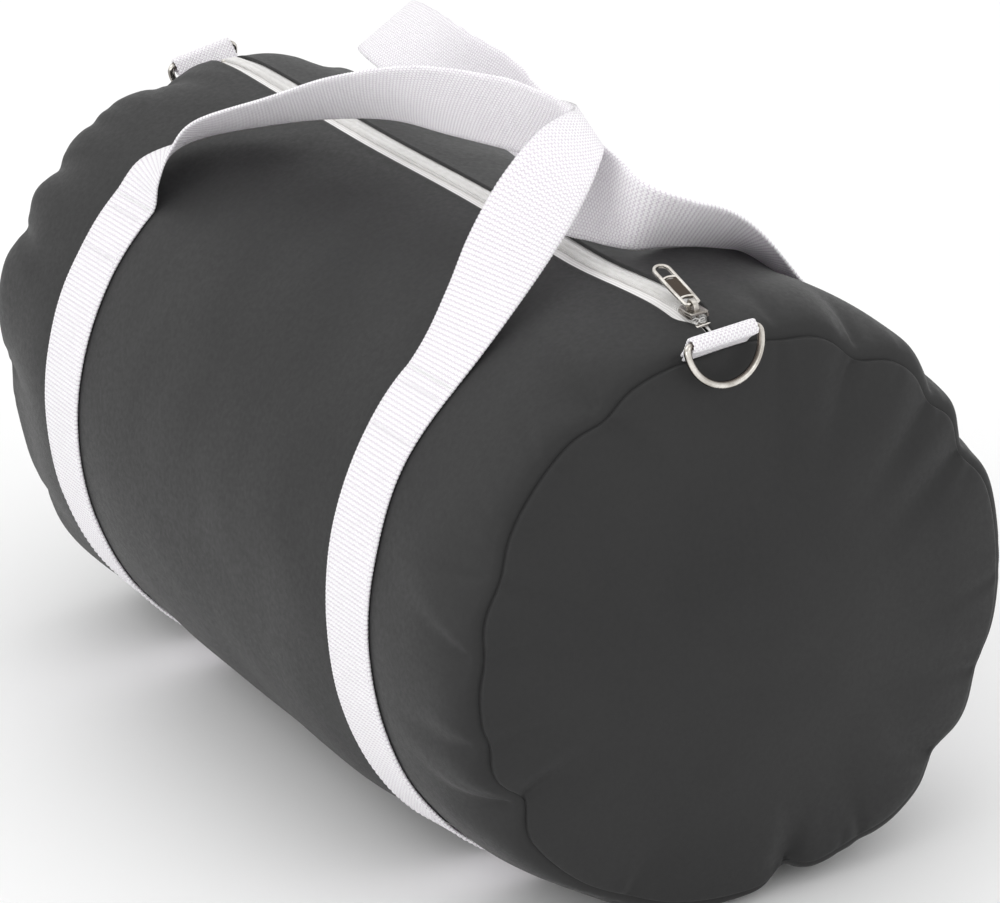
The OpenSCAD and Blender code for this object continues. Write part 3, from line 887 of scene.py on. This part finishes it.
def zip_coils():
    """One flattened spiral of monofilament on each tape; the two mesh in the middle."""
    for name, side in ZIP_SIDES:
        turns = np.arange(int(2 * COIL_HALF / COIL_PITCH) * COIL_STEPS) / COIL_STEPS
        x = -COIL_HALF + COIL_PITCH * (turns + (0.5 if side > 0 else 0.0))
        across = side * (1.35 + 1.55 * np.cos(2 * math.pi * turns))
        path = zip_frame(x, across, 1.45 + 0.85 * np.sin(2 * math.pi * turns))
        spiral = sweep(path, round_section(COIL_WIRE * MM, 6), (1.0, 0.02, 0.0))
        mesh_piece(name + "_zip_coil", "spiral", *spiral, "zip_coil", "bag")


def zip_stops():
    """A clamped metal bar across the tapes at each end of the coils."""
    across = np.linspace(-STOP_HALF, STOP_HALF, 15)
    rise = 0.9 + 0.25 * np.cos(across / STOP_HALF * 1.3)
    bar = soft_box(2.2 * MM, 1.3 * MM, 0.4 * MM)
    lumps = [sweep(zip_frame(np.full(15, end * (COIL_HALF + 2.4)), across, rise), bar, (0, 0, 1))
             for end in (-1, 1)]
    mesh_piece("zip_end_stops", "metal", *merged(lumps), "nickel", "bag")


def zip_local(points):
    """Slider's own frame (x along the zip, z up from the centre line, mm) to the row frame."""
    turn = -math.radians(ZIP_SKEW)
    c, s = math.cos(turn), math.sin(turn)
    x, y, z = np.asarray(points, float).T
    return to_frame(np.stack([c * x - s * y, s * x + c * y, z], -1))


SLIDER_X = 212.0
SLIDER_W = 9.0
SLIDER_L = 12.0
SLIDER_TOP = SLIDER_HIGH - AXIS_Z - 4.0               # top face of the upper plate
SLIDER_BRIDGE = [(-3.3, -3), (-3.1, -0.4), (-2.7, 1.7), (-1.5, 3.3), (0.2, 3.6), (1.8, 3.0), (2.7, 1.6),
                 (3.0, -0.4), (3.1, -3)]              # its route along the zip and above that face
SLIDER_PAINTED_DARK = [0.55, 0.55, 0.65, 0.65, 0.7, 0.3]      # painted dark reflection on the plates, flanges, post and bridge
PIVOT_Z = SLIDER_TOP + 1.9
PULLER_RISE = math.radians(17)
PULLER_L = 28.6
PULLER_HALF = 3.4                                     # half its width
PULLER_PAINTED_DARK = [0.0, 1.0, 0.0, 0.0]                    # painted dark reflection on the rim, sunk middle and the two bars; the sunk middle is painted fully dark as shade


def plate(outline, z0, z1, edge):
    """Flat plate with a softened rim, from an outline of (x, y) pairs going round the left."""
    outline = np.asarray(outline, float)
    middle = outline.mean(axis=0)
    inner = middle + (outline - middle) * (1 - edge / np.linalg.norm(outline - middle, axis=1,
                                                                    keepdims=True))
    levels = [(inner, z0), (outline, z0 + edge), (outline, z1 - edge), (inner, z1)]
    points = np.concatenate([np.column_stack([o, np.full(len(o), z)]) for o, z in levels])
    count = len(outline)
    return points, grid_faces(len(levels), count, wrap_cols=True) + end_caps(len(levels), count)


def rounded(corners, radius, steps=4):
    """Closed outline through corners, each cut by an arc of about this radius."""
    corners = np.asarray(corners, float)
    out = []
    for i, c in enumerate(corners):
        a, b = corners[i - 1] - c, corners[(i + 1) % len(corners)] - c
        ra = min(radius, 0.45 * np.linalg.norm(a))
        rb = min(radius, 0.45 * np.linalg.norm(b))
        p, q = c + a / np.linalg.norm(a) * ra, c + b / np.linalg.norm(b) * rb
        for t in np.linspace(0, 1, steps + 1):
            out.append((1 - t) ** 2 * p + 2 * t * (1 - t) * c + t * t * q)
    return np.array(out)


def metal_piece(node, lumps, body, painted_dark):
    """Nickel piece of several lumps, each with how much painted dark reflection it gets. Real corners
    stay sharp.
    """
    points, faces = merged(lumps)
    obj = mesh_piece(node, "metal", zip_local(points), faces, "nickel", body)
    point_values(obj, "painted_dark_reflection", np.repeat(painted_dark, [len(lump[0]) for lump in lumps]))
    obj.data.set_sharp_from_angle(angle=math.radians(38))


def zip_slider():
    """Two shield-shaped plates, side flanges, a post between the tapes and an arched bridge."""
    half_l, half_w = SLIDER_L / 2, SLIDER_W / 2
    side = [(-half_l, half_w * 0.72), (half_l * 0.2, half_w), (half_l, half_w * 0.92)]
    shield = rounded([(x, -y) for x, y in side] + [(half_l * 0.93, 0)] + side[::-1], 1.4)
    low = SLIDER_TOP - 1.2
    lumps = [plate(shield, low, SLIDER_TOP, 0.35), plate(shield, low - 6.5, low - 5.3, 0.35)]
    for side in (-1, 1):
        y = side * (half_w - 0.45)
        path = [(-half_l + 0.6, y * 0.80, low - 0.7), (-1, y * 0.97, low - 0.7),
                (half_l * 0.4, y, low - 0.7), (half_l - 0.7, y * 0.94, low - 0.7)]
        lumps.append(sweep(path, soft_box(0.9, 1.6, 0.3), (0, 0, 1)))
    lumps.append(sweep([(1.6, 0, low - 5.9), (1.6, 0, low + 0.4)], soft_box(0.55, 5.0, 0.2), (1, 0, 0)))
    arch = curve_through([(x, 0, SLIDER_TOP + z) for x, z in SLIDER_BRIDGE], 6)
    outward = np.stack([-np.gradient(arch[:, 2]), 0 * arch[:, 1], np.gradient(arch[:, 0])], -1)
    lumps.append(sweep(arch, soft_box(2.3, 0.85, 0.3), outward))
    lumps = [(points + np.array([SLIDER_X, 0, 0]), faces) for points, faces in lumps]
    metal_piece("zip_slider", lumps, "slider", SLIDER_PAINTED_DARK)


def zip_puller():
    """Long tag: a raised rim, a sunk middle, a slot at the free end and a bar under the bridge."""
    half = PULLER_HALF
    turns = np.radians(np.linspace(90, -90, 15))
    rim = [(-PULLER_L + half + 0.7 - half * math.cos(t), half * math.sin(t), 0) for t in turns]
    side_a = [(x, -half * (1 if x < -9 else 0.92 + 0.08 * (-x - 1) / 8), 0)
              for x in np.linspace(-PULLER_L + 5.5, -1.2, 14)]
    foot = [(-0.4, -half * 0.9, 0), (0.0, -half * 0.7, 0), (0.0, half * 0.7, 0), (-0.4, half * 0.9, 0)]
    side_b = [(x, -y, z) for x, y, z in reversed(side_a)]
    lumps = [sweep(rim + side_a + foot + side_b, soft_box(1.35, 1.7, 0.5), (0, 0, 1), closed=True)]
    web = rounded([(-18.7, -3.0), (-5.2, -3.0), (-4.6, 0), (-5.2, 3.0), (-18.7, 3.0), (-17.7, 0)], 0.8)
    lumps.append(plate(web, -0.45, 0.2, 0.12))
    for x, bow in ((-18.7, -0.9), (-4.8, -0.6)):
        bar = [(x + bow * (1 - (y / 3.1) ** 2), y, 0) for y in np.linspace(-3.1, 3.1, 9)]
        lumps.append(sweep(bar, soft_box(1.0, 1.5, 0.4), (0, 0, 1)))
    c, s = math.cos(PULLER_RISE), math.sin(PULLER_RISE)
    raised = np.array([(c, 0, -s), (0, 1, 0), (s, 0, c)])
    lumps = [(points @ raised + np.array([SLIDER_X, 0, PIVOT_Z]), faces) for points, faces in lumps]
    metal_piece("zip_puller", lumps, "puller", PULLER_PAINTED_DARK)


# ---- rings and their tabs ------------------------------------------------

BAR = np.array([HALF_LENGTH + 7.5, 0, SEAM_R + 5.5])      # middle of a ring's bar, on the right end
RING_R, RING_LEG, RING_WIRE = 17.2, 2.5, 3.2
RING_CORNER = 2.6
RING_HANG = math.radians(80)
TAB_W = 30.6
TAB_TURN = math.radians(2.9)      # right tab, turned round the body towards the front
TAB_TILT = math.radians(9)        # left tab, leaning
TAB_DROP = 2.0


def end_place(points, side):
    """Points drawn on the right end about the centre line, in mm, put on one end of the bag."""
    x, y, z = np.asarray(points, float).T
    turn, pivot, drop = (TAB_TURN, 0.0, 0.0) if side > 0 else (TAB_TILT, BAR[2], TAB_DROP)
    c, s = math.cos(turn), math.sin(turn)
    z = z - pivot
    return to_frame(np.stack([side * x, c * y - s * z, s * y + c * z + pivot - drop], -1))


def d_ring(side):
    """Round wire bent to a D: a straight bar in the tab, tight corners and a half circle."""
    half, corner = RING_R, RING_CORNER
    bend = [(corner * (1 - math.cos(t)), half - corner + corner * math.sin(t))
            for t in np.linspace(0.2, math.pi / 2, 6)]
    flat = [(0, y) for y in np.linspace(-half + corner, half - corner, 9)] + bend
    flat += [(RING_LEG + half * math.sin(t), half * math.cos(t))
             for t in np.linspace(0.06, math.pi - 0.06, 40)]
    flat += [(d, -y) for d, y in reversed(bend)]
    c, s = math.cos(RING_HANG), math.sin(RING_HANG)
    path = BAR + np.array([(c * d, y, -s * d) for d, y in flat])
    points, faces = sweep(path, round_section(RING_WIRE / 2, 16), (s, 0, c), closed=True)
    middle = BAR + np.array([c, 0, -s]) * RING_LEG
    reach = np.linalg.norm(points - middle, axis=1) - RING_R
    # Painted dark reflections on the wire's inner and outer edges.
    painted_dark = 0.9 * smoothstep(-0.2, -1.2, reach) + 0.75 * smoothstep(1.1, 1.5, reach)
    name = SIDE_NAME[side]
    obj = mesh_piece(name + "_d_ring", "wire", end_place(points, side), faces, "nickel", name + "_ring")
    point_values(obj, "painted_dark_reflection", painted_dark)


def ring_tab(side):
    """Short webbing folded round the ring's bar, both ends sewn into the end seam. Returns the
    row of stitches that holds it."""
    root = np.array([HALF_LENGTH - 0.6, SEAM_R - 2.2])
    centre = BAR[::2]
    r = RING_WIRE / 2 + 0.15 + WEB_T / 2
    toward = (centre - root) / np.linalg.norm(centre - root)
    off = np.array([-toward[1], toward[0]])
    leg = [root + off * 0.95 - toward * 3, root + off * 0.95, root + off + toward * 4]
    back = [root - off + toward * 4, root - off * 0.95, root - off * 0.95 - toward * 3]
    bend = [centre + r * (math.cos(turn) * off + math.sin(turn) * toward)
            for turn in np.radians(np.linspace(-20, 200, 16))]
    loop = curve_through([(x, 0, z) for x, z in leg + bend + back], 8)
    wobble = 0.15 * np.sin(np.linspace(0, 9, len(loop)))
    half = TAB_W / 2
    edges = [end_place(loop + sign * np.outer(half + wobble, (0, 1, 0)), side) for sign in (-1, 1)]
    obj = webbing_ribbon(SIDE_NAME[side] + "_ring_tab", *edges, "bag", ribbed=(0.0, 0.0), coarse=1.0)
    upper = loop[:len(loop) // 2]
    place = np.argmin(np.linalg.norm(upper[:, ::2] - (root + off + toward * 3.4), axis=1))
    normal = np.array([off[0], 0, off[1]])
    row = np.array([upper[place] + np.array([0, y, 0]) + normal * WEB_T / 2
                    for y in np.linspace(-half + 2.5, half - 2.5, 30)])
    lifted, row = end_place(row + normal, side), end_place(row, side)
    return thread_row(row, lifted - row, 2.0, 0.7, 0.22)


# ---- sewing --------------------------------------------------------------

WEB_TOP = WEB_LIFT + WEB_T / 2    # outside of the webbing over the panel, in mm


def strap_stitches():
    """Thread along both edges of each girth strap, down the front and up the back."""
    lumps = []
    for side in (-1, 1):
        for edge in (-1, 1):
            x = side * STRAP_X + edge * (WEB_W / 2 - 3.0)
            for start, stop in ((ROOT_ANGLE - 8, -52), (180 - ROOT_ANGLE + 8, 232)):
                angle = np.linspace(start, stop, 300)
                top = to_frame(strap_surface(x, angle, WEB_TOP))
                above = to_frame(strap_surface(x, angle, WEB_TOP + 1))
                lumps.append(thread_row(top, above - top, 2.5, 0.8, 0.21))
    mesh_piece("strap_stitching", "thread", *merged(lumps), "white_thread", "bag")


def bartacks():
    """Dense zigzags across the webbing where the handles leave the straps."""
    zigzag = 0.42 * (-1.0) ** np.arange(60)       # degrees to and fro round the body
    lumps = []
    for side in (-1, 1):
        for across in (-1, 1):
            for row in (3.0, 12.0):
                angle = 90 + across * (90 - ROOT_ANGLE + row) + zigzag
                x = side * STRAP_X + np.linspace(-15.5, 15.5, len(zigzag))
                path = strap_surface(x, angle, WEB_TOP - 0.02)
                above = strap_surface(x, angle, WEB_TOP + 1.01)
                lumps.append(sweep(to_frame(path), round_section(0.08 * MM, 5), above - path))
    mesh_piece("handle_bartacks", "thread", *merged(lumps), "white_thread", "bag")


def zip_stitches():
    """Thread along the folded edges of the fabric on both sides of the zip."""
    lumps = []
    x = np.linspace(-216, 216, 433)
    for side in (-1, 1):
        angle = zip_angle(x) + side * (window_angle(x) + math.degrees(2.6 / BODY_R))
        top = body_points(x[:, None], angle[:, None], 0.0)[:, 0]
        above = body_points(x[:, None], angle[:, None], 1.0)[:, 0]
        lumps.append(thread_row(top, above - top, 2.6, 0.9, 0.13))
    mesh_piece("zip_topstitching", "thread", *merged(lumps), "grey_thread", "bag")


ALLOWANCE = 3.4           # mm from the seam to the middle of its bound allowance


def seam_binding(side):
    """Bound seam allowance, standing inward from the end seam."""
    angle = np.arange(0, 360, 1.5)
    phi = np.radians(angle)
    spot = on_body(np.full(angle.shape, side * (HALF_LENGTH - ALLOWANCE)), angle,
                   lookup(SEAM[side], angle) - ALLOWANCE)
    inward = np.stack([0 * phi, np.cos(phi), -np.sin(phi)], -1)
    path = spot + inward * 4.5
    path[:, 2] = soft_floor(path[:, 2], FLOOR + 7.0)
    path[:, 0] += 0.35 * np.sin(phi * 31)
    section = soft_box(2.4 * MM, 9 * MM, 0.9 * MM)
    mesh_piece(SIDE_NAME[side] + "_seam_binding", "tape",
               *sweep(to_frame(path), section, inward, closed=True), "binding_tape", "bag")


# ---- lights and floor ----------------------------------------------------

SUBJECT = (0, 0, 0.12)


def area_light(name, place, size, power, target=SUBJECT):
    """Rectangular light aimed at a point."""
    data = bpy.data.lights.new(name, "AREA")
    data.shape = "RECTANGLE"
    data.size, data.size_y = size
    data.energy = power
    lamp = bpy.data.objects.new(name, data)
    lamp.location = place
    aim = Vector(target) - Vector(place)
    lamp.rotation_euler = aim.to_track_quat("-Z", "Y").to_euler()
    bpy.context.collection.objects.link(lamp)


def studio():
    """Pale seamless floor, soft light from above and both sides."""
    mesh = bpy.data.meshes.new("floor")
    size = 14.0
    mesh.from_pydata([(-size, -size, 0), (size, -size, 0), (size, size, 0), (-size, size, 0)], [],
                     [(0, 1, 2, 3)])
    floor = bpy.data.objects.new("floor", mesh)
    bpy.context.collection.objects.link(floor)
    n = Nodes("floor_paper", Roughness=0.95)
    n.feed(n.shader, Base_Color=n.ramp(n.noise(3.0, 2.0, 0.5), grey(0.90), grey(0.93)))
    mesh.materials.append(n.mat)
    world = bpy.data.worlds.new("studio")
    world.use_nodes = True
    background = world.node_tree.nodes["Background"]
    background.inputs["Color"].default_value = (1, 1, 1, 1)
    background.inputs["Strength"].default_value = 0.98
    bpy.context.scene.world = world
    area_light("key", (-0.6, -2.2, 2.6), (2.2, 1.6), 13)
    area_light("top", (0.3, 0.4, 3.0), (2.6, 2.6), 11)
    area_light("right_fill", (3.0, 0.2, 1.4), (1.6, 1.6), 7)
    area_light("front_low", (1.1, -2.3, 0.45), (2.0, 0.8), 8, target=(0, 0, 0.22))
    bpy.context.scene.view_settings.view_transform = "Standard"


main_panel()
zip_tapes()
zip_coils()
zip_stops()
zip_slider()
zip_puller()
for end in (1, -1):
    end_panel(end)
    seam_binding(end)
    girth_strap(end)
    d_ring(end)
mesh_piece("tab_stitching", "thread", *merged([ring_tab(1), ring_tab(-1)]), "white_thread", "bag")
handle("front_handle", FRONT_OUTER, FRONT_INNER, -1)
handle("back_handle", BACK_OUTER, BACK_INNER, 1)
strap_stitches()
bartacks()
zip_stitches()
studio()
